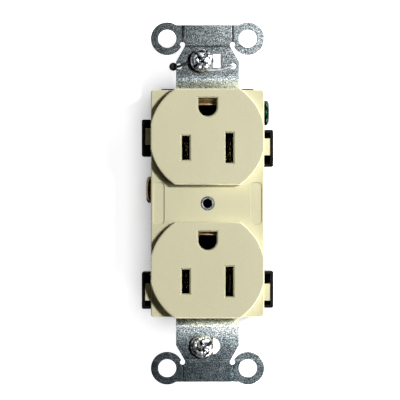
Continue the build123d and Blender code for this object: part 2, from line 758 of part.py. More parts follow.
# ---- Self-grounding spring: one bent wire across the top slot ----------------------
front_wire_y = -strap_thickness - wire_gap - wire_radius
rear_wire_y = wire_gap + wire_radius
spring_route = [
    (spring_paddle[0], rear_wire_y, spring_paddle[1]),
    (spring_left_hole[0], rear_wire_y, spring_left_hole[1]),
    (spring_left_hole[0], front_wire_y, spring_left_hole[1]),
]
spring_route += [(x, front_wire_y, z) for x, z in spring_front_points]
spring_route += [
    (spring_right_hole[0], front_wire_y, spring_right_hole[1]),
    (spring_right_hole[0], rear_wire_y, spring_right_hole[1]),
    (spring_rear_end[0], rear_wire_y, spring_rear_end[1]),
]
with BuildPart() as grounding_spring:
    with BuildLine() as spring_line:
        FilletPolyline(*spring_route, radius=spring_bend_radii)
    start = spring_line.wires()[0]
    with BuildSketch(Plane(origin=start @ 0, z_dir=start % 0)):
        Circle(wire_radius)
    sweep(path=start)
    with BuildSketch(front_plane(rear_wire_y + spring_paddle_thickness / 2)):
        with Locations(spring_paddle):
            Circle(spring_paddle_radius)
    extrude(amount=spring_paddle_thickness)
grounding_spring.part.label = "grounding_spring"

pieces = [face.part, rear_body.part, mounting_strap.part, grounding_spring.part]


def keep(piece, name):
    """Name a finished piece and put it with the others."""
    piece.label = name
    pieces.append(piece)


# ---- Buses, ground contacts and rivets ---------------------------------------------
keep(line_bus(-1), "hot_bus")
keep(line_bus(1), "neutral_bus")
for level, middle_z in zip(("upper", "lower"), ground_z):
    keep(ground_contact(middle_z, ground_lip[level]), f"ground_contact_{level}")
    keep(rivet_pair(middle_z), f"ground_rivets_{level}")

# ---- Terminal screws and their clamp plates ----------------------------------------
for line, side in (("hot", -1), ("neutral", 1)):
    for level, screw_z in zip(("upper", "lower"), terminal_z):
        backed_out = terminal_travel if (line, level) == ("hot", "upper") else 0
        head_seat = terminal_seat(side, tight_head_x + backed_out, terminal_y, screw_z)
        plate = clamp_plate(head_seat.offset(-clamp_gap), clamp_depth, clamp_height)
        keep(plate, f"{line}_clamp_{level}")
        screw = machine_screw(head_seat, terminal_head_radius, terminal_head_height,
                              terminal_shank_radius, terminal_shank_length, terminal_cross)
        keep(screw, f"{line}_screw_{level}")
ground_seat_x = ground_tab_outer_x + 2 * clamp_gap + clamp_thickness + ground_travel
ground_seat = terminal_seat(1, ground_seat_x, ground_screw_y, ground_screw_z)
plate = clamp_plate(ground_seat.offset(-clamp_gap), ground_clamp_depth, ground_clamp_height)
keep(plate, "ground_clamp")
keep(machine_screw(ground_seat, ground_head_radius, terminal_head_height,
                   terminal_shank_radius, ground_shank_length, ground_cross), "ground_screw")

# ---- Mounting screws and the washers that keep them in their slots -----------------
for end, sign, under_head_y in (
    ("top", 1, front_wire_y - wire_radius - mounting_head_gap),
    ("bottom", -1, -strap_thickness - mounting_head_gap),
):
    screw_z = sign * mounting_screw_spacing / 2
    seat = Plane(origin=(mounting_screw_x, under_head_y, screw_z), x_dir=(1, 0, 0),
                 z_dir=(0, -1, 0))
    neck = (mounting_neck_radius, mounting_thread_start_y - under_head_y)
    keep(machine_screw(seat, mounting_head_radius, mounting_head_height, mounting_thread_radius,
                       mounting_thread_tip_y - under_head_y, mounting_cross, neck),
         f"mounting_screw_{end}")
    with BuildPart() as retainer:
        with BuildSketch(front_plane(retainer_gap + retainer_thickness)):
            with Locations((mounting_screw_x, screw_z)):
                RectangleRounded(retainer_side, retainer_side, retainer_corner_radius)
                Circle(retainer_hole_radius, mode=Mode.SUBTRACT)
        extrude(amount=retainer_thickness)
    keep(retainer.part, f"retainer_{end}")

os.makedirs("parts", exist_ok=True)
for piece in pieces:
    export_step(piece, f"parts/{piece.label}.step")
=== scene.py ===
import math

import bmesh
import bpy
from mathutils import Matrix, Vector


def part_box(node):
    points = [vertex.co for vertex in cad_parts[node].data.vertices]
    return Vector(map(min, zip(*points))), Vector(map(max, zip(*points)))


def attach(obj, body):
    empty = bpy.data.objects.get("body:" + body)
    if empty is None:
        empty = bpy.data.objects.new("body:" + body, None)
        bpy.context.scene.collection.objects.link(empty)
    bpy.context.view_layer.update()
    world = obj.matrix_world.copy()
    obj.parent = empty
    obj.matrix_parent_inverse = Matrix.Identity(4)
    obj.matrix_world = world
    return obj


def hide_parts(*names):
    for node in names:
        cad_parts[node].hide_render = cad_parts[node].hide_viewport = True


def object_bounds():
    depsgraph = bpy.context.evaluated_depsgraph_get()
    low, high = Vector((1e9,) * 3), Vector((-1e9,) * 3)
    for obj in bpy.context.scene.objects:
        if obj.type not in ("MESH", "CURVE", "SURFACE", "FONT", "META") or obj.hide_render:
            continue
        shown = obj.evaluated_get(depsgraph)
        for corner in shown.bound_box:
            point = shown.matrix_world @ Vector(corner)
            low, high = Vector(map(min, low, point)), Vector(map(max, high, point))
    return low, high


# The visual model of a duplex wall outlet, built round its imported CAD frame. Metres.
# +Z is up the wall and -Y faces the room. A pale ground stands upright behind the outlet, as if
# the outlet lay on its back and the camera looked down at it.

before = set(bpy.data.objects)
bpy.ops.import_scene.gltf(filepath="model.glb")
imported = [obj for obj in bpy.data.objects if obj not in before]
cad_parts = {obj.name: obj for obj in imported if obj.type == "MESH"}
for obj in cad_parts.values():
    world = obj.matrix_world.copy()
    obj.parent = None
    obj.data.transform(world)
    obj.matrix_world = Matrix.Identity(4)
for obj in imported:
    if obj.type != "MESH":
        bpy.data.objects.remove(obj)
cad_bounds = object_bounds()
MM = 0.001


# ---- Small helpers for node trees ------------------------------------------------------
# The colour sockets of a mix node, by their places among its sockets.
MIX_FACTOR, MIX_FIRST, MIX_SECOND, MIX_RESULT = 0, 6, 7, 2
EDGE_SAMPLES = 6


class Nodes:
    """The node tree of a material or a world being put together."""

    def __init__(self, owner):
        owner.use_nodes = True
        self.tree = owner.node_tree
        self.tree.nodes.clear()

    def link(self, source, target):
        self.tree.links.new(source, target)

    def feed(self, target, value):
        """Give an input socket a constant, or the output socket that it follows."""
        if isinstance(value, bpy.types.NodeSocket):
            self.link(value, target)
        else:
            target.default_value = value

    def add(self, kind, **inputs):
        """New node; each keyword feeds the input of that name, with spaces as underscores."""
        node = self.tree.nodes.new(kind)
        for name, value in inputs.items():
            self.feed(node.inputs[name.replace("_", " ")], value)
        return node

    def mix_shaders(self, factor, first, second):
        node = self.add("ShaderNodeMixShader")
        for target, source in zip(node.inputs, (factor, first, second)):
            self.link(source, target)
        return node.outputs[0]


class Shader(Nodes):
    """A principled material. Its helpers take and return sockets.

    Texture scales are in cells per metre, bump depths in metres."""

    def __init__(self, name):
        self.material = bpy.data.materials.new(name)
        super().__init__(self.material)
        output = self.add("ShaderNodeOutputMaterial")
        self.principled = self.add("ShaderNodeBsdfPrincipled")
        self.link(self.principled.outputs["BSDF"], output.inputs["Surface"])
        self.position = self.add("ShaderNodeTexCoord").outputs["Object"]

    def surface(self, **inputs):
        """Feed inputs of the principled surface."""
        for name, value in inputs.items():
            self.feed(self.principled.inputs[name.replace("_", " ")], value)

    def noise(self, scale, detail=2.0, roughness=0.5, stretch=None):
        vector = self.position
        if stretch is not None:
            vector = self.add("ShaderNodeMapping", Vector=vector, Scale=stretch).outputs["Vector"]
        return self.add("ShaderNodeTexNoise", Vector=vector, Scale=scale, Detail=detail,
                        Roughness=roughness).outputs["Fac"]

    def cells(self, scale):
        return self.add("ShaderNodeTexVoronoi", Vector=self.position,
                        Scale=scale).outputs["Distance"]

    def axis(self, name):
        """One coordinate of the object's own position."""
        return self.add("ShaderNodeSeparateXYZ", Vector=self.position).outputs[name]

    def ramp(self, source, stops):
        """Colours over a source; stops are (position, colour) pairs."""
        node = self.add("ShaderNodeValToRGB", Fac=source)
        elements = node.color_ramp.elements
        while len(elements) < len(stops):
            elements.new(0.5)
        for element, (position, colour) in zip(elements, stops):
            element.position = position
            element.color = (*colour, 1.0)
        return node.outputs["Color"]

    def span(self, source, low, high, from_low=0.3, from_high=0.7):
        """Map a source from one range to another; the first suits a noise."""
        return self.add("ShaderNodeMapRange", Value=source, From_Min=from_low, From_Max=from_high,
                        To_Min=low, To_Max=high).outputs["Result"]

    def multiply(self, first, second, factor=1.0):
        """First colour times the second, as far as the factor says."""
        node = self.add("ShaderNodeMix")
        node.data_type = "RGBA"
        node.blend_type = "MULTIPLY"
        self.feed(node.inputs[MIX_FACTOR], factor)
        self.link(first, node.inputs[MIX_FIRST])
        self.link(second, node.inputs[MIX_SECOND])
        return node.outputs[MIX_RESULT]

    def bump(self, layers, edge=None):
        """Stack bump layers; each is (height, strength, depth).

        With edge, a radius, sharp edges catch the light as if slightly rounded."""
        before = None
        if edge is not None:
            bevel = self.add("ShaderNodeBevel", Radius=edge)
            bevel.samples = EDGE_SAMPLES
            before = bevel.outputs["Normal"]
        for height, strength, depth in layers:
            node = self.add("ShaderNodeBump", Height=height, Strength=strength, Distance=depth)
            if before is not None:
                self.link(before, node.inputs["Normal"])
            before = node.outputs["Normal"]
        self.surface(Normal=before)


def grey(level):
    return (level, level, level)


BLACK_LEVEL = grey(0.0)
WHITE_LEVEL = grey(1.0)


# ---- Materials -------------------------------------------------------------------------
def ivory_plastic():
    """Moulded ivory thermoplastic: faint flow marks and a fine satin grain."""
    shader = Shader("ivory_plastic")
    flow = shader.noise(90.0, detail=3.0, stretch=(1.0, 1.0, 0.5))
    grain = shader.noise(2600.0, detail=2.0)
    fine = shader.noise(7000.0, detail=1.0)
    tone = shader.ramp(flow, [(0.3, (0.560, 0.530, 0.345)), (0.7, (0.590, 0.560, 0.368))])
    speck = shader.ramp(grain, [(0.35, (0.94, 0.94, 0.93)), (0.65, WHITE_LEVEL)])
    shader.surface(Base_Color=shader.multiply(tone, speck),
                   Roughness=shader.span(grain, 0.42, 0.55), IOR=1.49,
                   Subsurface_Weight=0.05, Subsurface_Scale=0.001,
                   Subsurface_Radius=(1.0, 0.7, 0.35))
    shader.bump([(grain, 0.25, 0.00004), (fine, 0.15, 0.00002)], edge=0.0002)
    return shader.material


def black_plastic():
    """Black moulded nylon with a fine grain and slightly greyer high spots."""
    shader = Shader("black_plastic")
    cloud = shader.noise(250.0, detail=3.0)
    grain = shader.noise(3200.0, detail=2.0)
    tone = shader.ramp(cloud, [(0.3, (0.004, 0.004, 0.0045)), (0.7, (0.009, 0.009, 0.010))])
    shader.surface(Base_Color=tone, Roughness=shader.span(grain, 0.20, 0.30),
                   IOR=1.5, Specular_IOR_Level=0.14)
    shader.bump([(cloud, 0.12, 0.00006), (grain, 0.2, 0.00002)], edge=0.0002)
    return shader.material


def zinc_steel():
    """Zinc-plated sheet: mottled crystals, fine speckle and darker, duller patches."""
    shader = Shader("zinc_steel")
    patches = shader.noise(320.0, detail=4.0, roughness=0.6)
    crystals = shader.cells(1700.0)
    speckle = shader.noise(3300.0, detail=3.0, roughness=0.7)
    base = shader.ramp(patches, [(0.3, (0.067, 0.077, 0.081)), (0.7, (0.118, 0.130, 0.135))])
    tint = shader.ramp(speckle, [
        (0.38, (0.10, 0.11, 0.12)), (0.5, (0.72, 0.73, 0.73)), (0.62, (3.4, 3.4, 3.35))])
    colour = shader.multiply(base, tint, factor=0.9)

    # painted shade darkens the strap to the left and on the lower bar; painted highlights
    # brighten its right side
    across = shader.span(shader.axis("X"), 0.0, 1.0, -0.016, 0.016)
    painted_side_light = shader.ramp(across, [
        (0.0, (0.44, 0.46, 0.47)), (0.5, WHITE_LEVEL), (0.72, grey(1.7)), (1.0, grey(1.75))])
    upward = shader.span(shader.axis("Z"), 0.0, 1.0, -0.054, 0.054)
    # painted light up the strap: bands darkened as painted shade or brightened as painted
    # highlights and reflections
    painted_height_light = shader.ramp(upward, [
        # lower bar in painted shade, with a painted highlight along the crease at its top, then
        # the lower neck
        (0.072, (0.62, 0.68, 0.72)), (0.0765, (1.7, 1.8, 1.85)), (0.081, (0.62, 0.68, 0.72)),
        (0.13, (1.75, 1.82, 1.86)),
        # lower slope, hidden middle, upper slope, brightened as painted reflections
        (0.165, grey(5.5)), (0.22, grey(9.5)), (0.40, grey(1.7)), (0.60, grey(1.7)),
        (0.78, grey(7.4)), (0.826, grey(6.8)),
        # upper neck, then the upper bar over the painted shade of its crease
        (0.838, grey(2.0)), (0.85, grey(1.1)), (0.921, grey(1.1)), (0.9245, (0.30, 0.28, 0.26)),
        (0.928, grey(1.2))])
    colour = shader.multiply(colour, painted_side_light)
    colour = shader.multiply(colour, painted_height_light)

    # scored lines: painted shade in the upper pair, a painted highlight along the lower pair
    for shade, ends in (
            ((0.22, 0.23, 0.24), [(0.928, BLACK_LEVEL), (0.936, WHITE_LEVEL)]),
            ((2.2, 2.3, 2.3), [(0.066, WHITE_LEVEL), (0.074, BLACK_LEVEL)])):
        lines = shader.ramp(across, [
            (0.258, WHITE_LEVEL), (0.2703, shade), (0.283, WHITE_LEVEL),
            (0.717, WHITE_LEVEL), (0.7297, shade), (0.742, WHITE_LEVEL)])
        colour = shader.multiply(colour, lines, factor=shader.ramp(upward, ends))
    shader.surface(Base_Color=colour, Roughness=shader.span(crystals, 0.27, 0.42, 0.1, 0.6),
                   Metallic=0.9)
    shader.bump([(patches, 0.2, 0.0001), (crystals, 0.35, 0.00004), (speckle, 0.6, 0.00005)],
                edge=0.00022)
    return shader.material


def bright_zinc():
    """Bright zinc plating of the mounting screws: shiny, with small dents and dark spots."""
    shader = Shader("bright_zinc")
    dents = shader.noise(900.0, detail=3.0)
    spots = shader.noise(2600.0, detail=3.0, roughness=0.6)
    # the struck head is dented, with painted shadow in its dents; the thread behind it hardly
    struck = shader.span(shader.axis("Y"), 1.0, 0.12, -0.0014, -0.0010)
    base = shader.ramp(spots, [
        (0.36, (0.05, 0.06, 0.065)), (0.44, (0.60, 0.63, 0.64)), (0.54, (0.90, 0.91, 0.92))])
    # painted shadow darkens the deep parts of the dents
    painted_dent_shadow = shader.ramp(dents, [
        (0.40, (0.04, 0.055, 0.06)), (0.475, (0.70, 0.73, 0.74)), (0.56, WHITE_LEVEL)])
    shader.surface(Base_Color=shader.multiply(base, painted_dent_shadow, factor=struck),
                   Roughness=shader.span(dents, 0.22, 0.38), Metallic=1.0)
    shader.bump([(dents, struck, 0.00030), (spots, struck, 0.00004)])
    return shader.material


def brass(name, light, dark, rough_low, rough_high):
    """Brass with tarnish in patches and fine rolling scratches."""
    shader = Shader(name)
    tarnish = shader.noise(420.0, detail=4.0, roughness=0.6)
    scratches = shader.noise(3000.0, detail=2.0, stretch=(1.0, 1.0, 0.08))
    shader.surface(Base_Color=shader.ramp(tarnish, [(0.3, dark), (0.6, light)]),
                   Roughness=shader.span(tarnish, rough_high, rough_low), Metallic=1.0)
    shader.bump([(scratches, 0.2, 0.00003), (tarnish, 0.15, 0.00008)])
    return shader.material


def plated(name, light, dark, rough_low, rough_high, metallic=1.0):
    """Plated or dyed metal with faint tumbling marks."""
    shader = Shader(name)
    marks = shader.noise(700.0, detail=4.0, roughness=0.6)
    fine = shader.noise(3000.0, detail=2.0)
    shader.surface(Base_Color=shader.ramp(marks, [(0.3, dark), (0.65, light)]),
                   Roughness=shader.span(fine, rough_low, rough_high), Metallic=metallic)
    shader.bump([(marks, 0.2, 0.0001), (fine, 0.25, 0.00003)])
    return shader.material


def spring_steel():
    """Drawn spring wire with a random dark scale; painted shade darkens its left end, the rest
    keeps its bright tone.
    """
    shader = Shader("spring_wire")
    scale = shader.noise(900.0, detail=4.0, roughness=0.6)
    lines = shader.noise(3000.0, detail=2.0)
    base = shader.ramp(scale, [(0.3, (0.40, 0.42, 0.44)), (0.65, (0.85, 0.92, 0.98))])
    across = shader.span(shader.axis("X"), 0.0, 1.0, -0.010, 0.010)
    # painted shade: the wire left of the screw is darkened, the rest keeps its bright tone
    painted_wire_shade = shader.ramp(across, [(0.30, grey(0.06)), (0.38, WHITE_LEVEL)])
    shader.surface(Base_Color=shader.multiply(base, painted_wire_shade),
                   Roughness=shader.span(lines, 0.38, 0.52), Metallic=1.0)
    shader.bump([(scale, 0.25, 0.00006), (lines, 0.25, 0.00003)])
    return shader.material


def fibre_board():
    """Vulcanised fibre washer: reddish brown with short fibres."""
    shader = Shader("fibre_board")
    fibres = shader.noise(1500.0, detail=4.0, roughness=0.7, stretch=(1.0, 1.0, 0.2))
    tone = shader.ramp(fibres, [(0.3, (0.14, 0.07, 0.035)), (0.7, (0.30, 0.17, 0.09))])
    shader.surface(Base_Color=tone, Roughness=shader.span(fibres, 0.6, 0.85))
    shader.bump([(fibres, 0.5, 0.00006)])
    return shader.material


IVORY = ivory_plastic()
BLACK = black_plastic()
ZINC = zinc_steel()
BRIGHT = bright_zinc()
# painted shade: the blade contacts' brass is made much darker than the ground contacts' brass, so
# the blade slots look dark
BUS = brass("bus_brass", (0.42, 0.33, 0.20), (0.12, 0.09, 0.06), 0.20, 0.38)
GROUND_BRASS = brass("ground_brass", (1.0, 0.80, 0.50), (0.60, 0.38, 0.17), 0.40, 0.52)
# painted shade: the hot terminal screws' brass is darkened to near black, as their heads look
# when they reflect little light
SCREW_BRASS = brass("screw_brass", (0.21, 0.137, 0.055), (0.010, 0.007, 0.004), 0.16, 0.32)
NICKEL = plated("screw_nickel", (0.58, 0.57, 0.54), (0.30, 0.29, 0.27), 0.2, 0.35)
GREEN = plated("screw_green", (0.0015, 0.027, 0.015), (0.0004, 0.003, 0.002), 0.20, 0.34,
               metallic=0.95)
CLAMP = plated("clamp_steel", (0.62, 0.62, 0.60), (0.42, 0.42, 0.41), 0.28, 0.45)
RIVET = plated("rivet_steel", (0.60, 0.60, 0.58), (0.40, 0.40, 0.39), 0.25, 0.4)
WIRE = spring_steel()
FIBRE = fibre_board()

CAD_FINISH = {
    "face": IVORY, "rear_body": BLACK, "mounting_strap": ZINC,
    "hot_bus": BUS, "neutral_bus": BUS,
    "ground_contact_upper": GROUND_BRASS, "ground_contact_lower": GROUND_BRASS,
    "ground_rivets_upper": RIVET, "ground_rivets_lower": RIVET,
    "hot_clamp_upper": CLAMP, "hot_clamp_lower": CLAMP,
    "neutral_clamp_upper": CLAMP, "neutral_clamp_lower": CLAMP, "ground_clamp": CLAMP,
    "retainer_top": FIBRE, "retainer_bottom": FIBRE,
}
for node, material in CAD_FINISH.items():
    cad_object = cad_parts[node]
    cad_object.data.materials.clear()
    cad_object.data.materials.append(material)


# ---- Mesh helpers ----------------------------------------------------------------------
SMOOTH_ANGLE = math.radians(35)


def mesh_object(name, bm, material):
    """Turn a bmesh into a shaded object of the scene."""
    bmesh.ops.recalc_face_normals(bm, faces=bm.faces)
    mesh = bpy.data.meshes.new(name)
    bm.to_mesh(mesh)
    bm.free()
    mesh.materials.append(material)
    for polygon in mesh.polygons:
        polygon.use_smooth = True
    mesh.set_sharp_from_angle(angle=SMOOTH_ANGLE)
    made = bpy.data.objects.new(name, mesh)
    bpy.context.scene.collection.objects.link(made)
    return made


def lathe(bm, rings, segments, placement):
    """Join rings of (radius, height) into one closed skin.

    A radius is a number, or a function of the turn."""
    rows = []
    for radius_at, height in rings:
        row = []
        for step in range(segments):
            turn = 2 * math.pi * step / segments
            radius = radius_at(turn) if callable(radius_at) else radius_at
            row.append(bm.verts.new(placement @ Vector(
                (radius * math.cos(turn), radius * math.sin(turn), height))))
        rows.append(row)
    for low, high in zip(rows, rows[1:]):
        for step in range(segments):
            after = (step + 1) % segments
            bm.faces.new((low[step], low[after], high[after], high[step]))
    bm.faces.new(rows[0][::-1])
    bm.faces.new(rows[-1])


def prism(bm, outline, low, high, placement, taper=1.0):
    """Closed prism over an outline, narrower at the low end by taper."""
    bottom = [bm.verts.new(placement @ Vector((x * taper, y * taper, low))) for x, y in outline]
    top = [bm.verts.new(placement @ Vector((x, y, high))) for x, y in outline]
    count = len(outline)
    for index in range(count):
        after = (index + 1) % count
        bm.faces.new((bottom[index], bottom[after], top[after], top[index]))
    bm.faces.new(bottom[::-1])
    bm.faces.new(top)


def cut_away(target, cutter):
    """Subtract one closed mesh object from another and drop the cutter."""
    modifier = target.modifiers.new("cut", "BOOLEAN")
    modifier.operation = "DIFFERENCE"
    modifier.solver = "EXACT"
    modifier.object = cutter
    graph = bpy.context.evaluated_depsgraph_get()
    result = bpy.data.meshes.new_from_object(target.evaluated_get(graph))
    target.modifiers.clear()
    target.data = result
    bpy.data.objects.remove(cutter)


# ---- Screw shapes ----------------------------------------------------------------------
STEPS_PER_PITCH = 10
RIDGE_SLOPE = 2.6                 # fall of a thread's ridge per pitch, in ridge heights
CREST_GAIN = 1.3                  # over 1, and the crest is cut flat
TIP_WIDTH, TIP_FLARE = 0.82, 0.18  # width of the tip and what it gains over the first pitch
SCREW_SEGMENTS = 48

# Head shapes are shares of the head's radius or height.
SEAT_PROFILE = ((0.94, 0.0), (0.985, 0.06), (1.0, 0.16))    # (radius, height) of each ring
RIM_HEIGHT = 0.45
DOME_HEIGHT = 0.93
DOME_FLAT, DOME_ROUND = 0.62, 0.38
DOME_STEPS = 10
CROWN_PROFILE = ((0.3, 0.98), (0.02, 1.0))

SLOT_REACH = 1.2
SLOT_HALF_WIDTH = 0.15
SLOT_FLOOR = 0.56
CROSS_REACH = 0.62
CROSS_WIDTH = 0.30
CROSS_FLOOR = 0.1
CROSS_TAPER = 0.45                # width of the cross recess at its floor
CROSS_TIP = 0.75                  # width of an arm's end
CUT_TOP = 1.3                     # the cutters end this high, clear of the head
EDGE_BEVEL = 0.02
BEVEL_ANGLE = math.radians(50)


def thread_rings(major, minor, pitch, length, neck_length):
    """Rings of a threaded shank from its tip (-length) up to the plain neck under the head."""
    threaded = length - neck_length
    count = int(threaded / pitch * STEPS_PER_PITCH)
    rings = []
    for step in range(count + 1):
        height = -length + threaded * step / count

        def radius_at(turn, height=height):
            phase = (height / pitch - turn / (2 * math.pi)) % 1.0
            ridge = max(0.0, 1.0 - abs(phase - 0.5) * RIDGE_SLOPE)
            at_tip = min(1.0, max(0.0, (height + length) / pitch))
            at_neck = min(1.0, max(0.0, (-neck_length - height) / (0.5 * pitch)))
            fade = at_tip * (at_neck if neck_length else 1.0)
            core = minor * (TIP_WIDTH + TIP_FLARE * at_tip)
            return core + (major - minor) * min(1.0, ridge * CREST_GAIN) * fade
        rings.append((radius_at, height))
    return rings


def head_rings(radius, height):
    """Rings of a screw head: flat seat, rounded rim and a low dome."""
    rings = [(radius * across, height * up) for across, up in SEAT_PROFILE]
    rim = height * RIM_HEIGHT
    rings.append((radius, rim))
    for step in range(1, DOME_STEPS + 1):
        angle = math.pi / 2 * step / DOME_STEPS
        across = radius * (DOME_FLAT + DOME_ROUND * math.cos(angle))
        rings.append((across, rim + (height * DOME_HEIGHT - rim) * math.sin(angle)))
    rings += [(radius * across, height * up) for across, up in CROWN_PROFILE]
    return rings


def cross_outline(reach, width):
    """Four-armed cross with slightly narrowed ends."""
    half = width / 2
    tip = half * CROSS_TIP
    points = []
    for quarter in range(4):
        turn = Matrix.Rotation(quarter * math.pi / 2, 2)
        for corner in ((half, -half), (reach, -tip), (reach, tip)):
            points.append(tuple(turn @ Vector(corner)))
    return points


def cut_drive(screw, head_radius, head_height, placement, material):
    """Cut the slot and then the cross recess into a head."""
    reach = head_radius * SLOT_REACH
    half = head_radius * SLOT_HALF_WIDTH
    slot = [(-reach, -half), (reach, -half), (reach, half), (-reach, half)]
    cross = cross_outline(head_radius * CROSS_REACH, head_radius * CROSS_WIDTH)
    for name, outline, floor, taper in (
            ("slot_cutter", slot, SLOT_FLOOR, 1.0),
            ("cross_cutter", cross, CROSS_FLOOR, CROSS_TAPER)):
        cutter = bmesh.new()
        prism(cutter, outline, head_height * floor, head_height * CUT_TOP, placement, taper)
        cut_away(screw, mesh_object(name, cutter, material))


def build_screw(node, body, outward, head_radius, head_height, major, minor, pitch, material,
                slot_turn, thread_from=None):
    """Threaded screw with a combination slot and cross recess, in place of its CAD node.

    The thread starts at the head, or past a plain neck at a stated place along the axis."""
    low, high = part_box(node)
    middle = (low + high) / 2
    axis = Vector(outward)
    half_length = abs(axis.dot(high - middle))
    head_top = middle + axis * half_length
    seat = head_top - axis * head_height
    length = 2 * half_length - head_height
    turn_to_axis = Vector((0, 0, 1)).rotation_difference(axis).to_matrix().to_4x4()
    placement = Matrix.Translation(seat) @ turn_to_axis @ Matrix.Rotation(slot_turn, 4, "Z")

    neck_length = 0.0
    if thread_from is not None:
        neck_length = axis.dot(seat) - thread_from

    bm = bmesh.new()
    rings = thread_rings(major, minor, pitch, length, neck_length)
    rings += [(minor, 0.0)] + head_rings(head_radius, head_height)
    lathe(bm, rings, SCREW_SEGMENTS, placement)
    screw = mesh_object(node + "_detail", bm, material)
    cut_drive(screw, head_radius, head_height, placement, material)

    bevel = screw.modifiers.new("edge", "BEVEL")
    bevel.width = head_radius * EDGE_BEVEL
    bevel.segments = 2
    bevel.limit_method = "ANGLE"
    bevel.angle_limit = BEVEL_ANGLE
    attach(screw, body)
    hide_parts(node)
    return screw


# ---- Screws ----------------------------------------------------------------------------
PITCH = 25.4 / 32 * MM            # 32 threads to the inch, on 6-32 and 8-32 alike
TERMINAL_HEAD_HEIGHT, TERMINAL_MAJOR, TERMINAL_MINOR = 2.0 * MM, 2.04 * MM, 1.62 * MM
MOUNTING_HEAD_RADIUS, MOUNTING_HEAD_HEIGHT = 3.4 * MM, 2.1 * MM
MOUNTING_MAJOR, MOUNTING_MINOR = 1.74 * MM, 1.36 * MM
MOUNTING_THREAD_FROM = -1.35 * MM  # behind the strap; the neck in front of it is plain
HOT_SIDE = (-1, 0, 0)
NEUTRAL_SIDE = (1, 0, 0)
ROOM_SIDE = (0, -1, 0)
# node, side that the head faces, head radius in mm, material, turn of the slot in radians
TERMINAL_SCREWS = (
    ("hot_screw_upper", HOT_SIDE, 3.95, SCREW_BRASS, 0.5),
    ("hot_screw_lower", HOT_SIDE, 3.95, SCREW_BRASS, 1.3),
    ("neutral_screw_upper", NEUTRAL_SIDE, 3.95, NICKEL, 0.2),
    ("neutral_screw_lower", NEUTRAL_SIDE, 3.95, NICKEL, 0.9),
    ("ground_screw", NEUTRAL_SIDE, 3.68, GREEN, 0.35),
)
for node, outward, head_radius, material, turn in TERMINAL_SCREWS:
    screw = build_screw(node, node, outward, head_radius * MM, TERMINAL_HEAD_HEIGHT,
                        TERMINAL_MAJOR, TERMINAL_MINOR, PITCH, material, turn)
for node, turn in (("mounting_screw_top", 0.75), ("mounting_screw_bottom", 0.35)):
    screw = build_screw(node, node, ROOM_SIDE, MOUNTING_HEAD_RADIUS, MOUNTING_HEAD_HEIGHT,
                        MOUNTING_MAJOR, MOUNTING_MINOR, PITCH, BRIGHT, turn,
                        thread_from=MOUNTING_THREAD_FROM)


# ---- Ground contacts -------------------------------------------------------------------
ROLL_RADIUS = 0.25 * MM
ROLL_HALF_LENGTH = 2.68 * MM
# The roll's rounded end: (radius, distance from the end), in roll radii.
ROLL_END = ((0.4, 0.0), (0.85, 0.25), (1.0, 0.7))


def rolled_lip(node, name, front_y, rise):
    """Edge of a contact's front leaf, curled forward into a polished roll."""
    low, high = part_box(node)
    middle = (low + high) / 2
    placement = (Matrix.Translation((0, front_y + ROLL_RADIUS, middle.z + rise))
                 @ Matrix.Rotation(math.pi / 2, 4, "Y"))
    bm = bmesh.new()
    rings = [(ROLL_RADIUS * across, -ROLL_HALF_LENGTH + ROLL_RADIUS * inward)
             for across, inward in ROLL_END]
    rings += [(ROLL_RADIUS * across, ROLL_HALF_LENGTH - ROLL_RADIUS * inward)
              for across, inward in reversed(ROLL_END)]
    lathe(bm, rings, 24, placement)
    roll = mesh_object(name, bm, GROUND_BRASS)
    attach(roll, "housing")


rolled_lip("ground_contact_upper", "ground_lip_roll_upper", -2.98 * MM, 0.84 * MM)
rolled_lip("ground_contact_lower", "ground_lip_roll_lower", -3.52 * MM, 1.84 * MM)


# ---- Self-grounding spring -------------------------------------------------------------
WIRE_RADIUS = 0.39 * MM
WIRE_INSET = 0.4 * MM             # from the faces of the node's box to the wire's middle
PADDLE_RADIUS = 1.22 * MM
PADDLE_HALF_THICKNESS = 0.29 * MM


def spring_route(front_y, rear_y):
    """Points along the wire, from its left end behind the strap to its right end."""
    left_x, left_z = -8.3 * MM, 40.05 * MM
    right_x, right_z = 7.5 * MM, 40.1 * MM
    return [
        (-10.3 * MM, rear_y, 40.0 * MM),
        (-9.2 * MM, rear_y, 40.02 * MM),
        (left_x - 0.2 * MM, rear_y, left_z),
        (left_x, rear_y, left_z),
        (left_x, front_y, left_z),
        (left_x + 0.25 * MM, front_y, left_z + 0.1 * MM),
        (-6.6 * MM, front_y, 40.75 * MM),
        (-5.0 * MM, front_y, 41.3 * MM),
        (-4.2 * MM, front_y, 40.2 * MM),
        (-3.4 * MM, front_y, 39.2 * MM),
        (0.2 * MM, front_y, 38.7 * MM),
        (3.6 * MM, front_y, 39.05 * MM),
        (5.6 * MM, front_y, 39.6 * MM),
        (right_x - 0.25 * MM, front_y, right_z - 0.06 * MM),
        (right_x, front_y, right_z),
        (right_x, rear_y, right_z),
        (right_x - 0.25 * MM, rear_y, right_z + 0.2 * MM),
        (6.25 * MM, rear_y, 41.05 * MM),
    ]


def bent_wire(route):
    """Round wire along a route, with closed ends."""
    curve = bpy.data.curves.new("grounding_spring_wire", "CURVE")
    curve.dimensions = "3D"
    spline = curve.splines.new("NURBS")
    spline.points.add(len(route) - 1)
    for point, place in zip(spline.points, route):
        point.co = (*place, 1.0)
    spline.order_u = 3
    spline.use_endpoint_u = True
    spline.resolution_u = 10
    curve.bevel_depth = WIRE_RADIUS
    curve.bevel_resolution = 6
    curve.use_fill_caps = True
    curve.materials.append(WIRE)
    made = bpy.data.objects.new("grounding_spring_wire", curve)
    bpy.context.scene.collection.objects.link(made)
    return made


